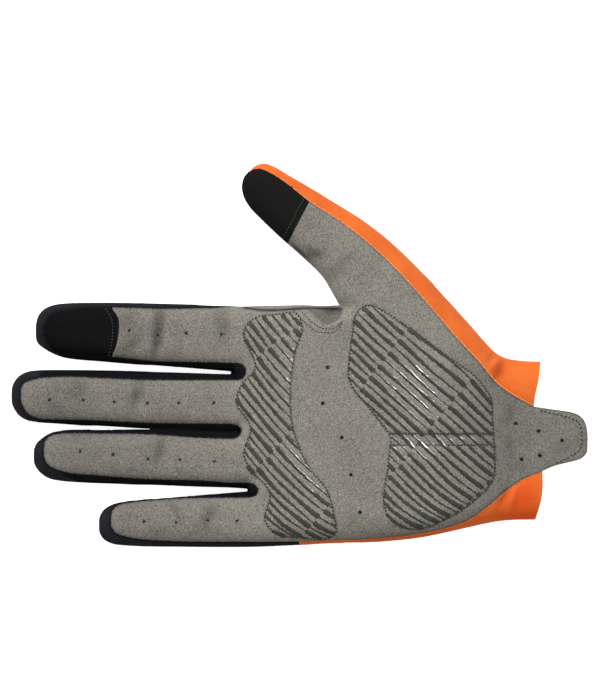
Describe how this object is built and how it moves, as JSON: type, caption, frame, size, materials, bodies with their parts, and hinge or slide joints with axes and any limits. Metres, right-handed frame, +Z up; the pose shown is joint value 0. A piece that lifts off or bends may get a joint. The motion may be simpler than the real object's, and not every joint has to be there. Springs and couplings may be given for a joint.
{
  "type": "full-finger cycling glove",
  "caption": "Right-hand full-finger slip-on cycling glove lying palm up, with stitched grip pads, fingertip patches, side strips between the fingers and a wrist pull tab.",
  "frame": {"origin": "on the surface that the glove lies on, under the middle of its plan", "axes": "+Z up out of the palm, -X towards the middle fingertip, +Y towards the thumb; the back of the hand lies on z = 0"},
  "size_m": [0.2308, 0.1532, 0.0179],
  "materials": {
    "suede": "matt microfibre suede",
    "orange_knit": "smooth stretch knit",
    "black_patch": "matt woven patch",
    "black_knit": "matt stretch knit",
    "grip_pad": "padded suede with rubber grip stripes"
  },
  "bodies": {
    "root": {"palm_panel": "suede", "thumb_gusset": "suede", "hand_back": "orange_knit", "index_touch_patch": "black_patch", "thumb_touch_patch": "black_patch", "index_back": "black_knit", "middle_back": "black_knit", "ring_back": "black_knit", "little_back": "black_knit", "fourchette_index_middle": "black_knit", "fourchette_middle_ring": "black_knit", "fourchette_ring_little": "black_knit", "knuckle_pad": "grip_pad", "thumb_pad": "grip_pad", "heel_pad": "grip_pad"}
  },
  "joints": []
}
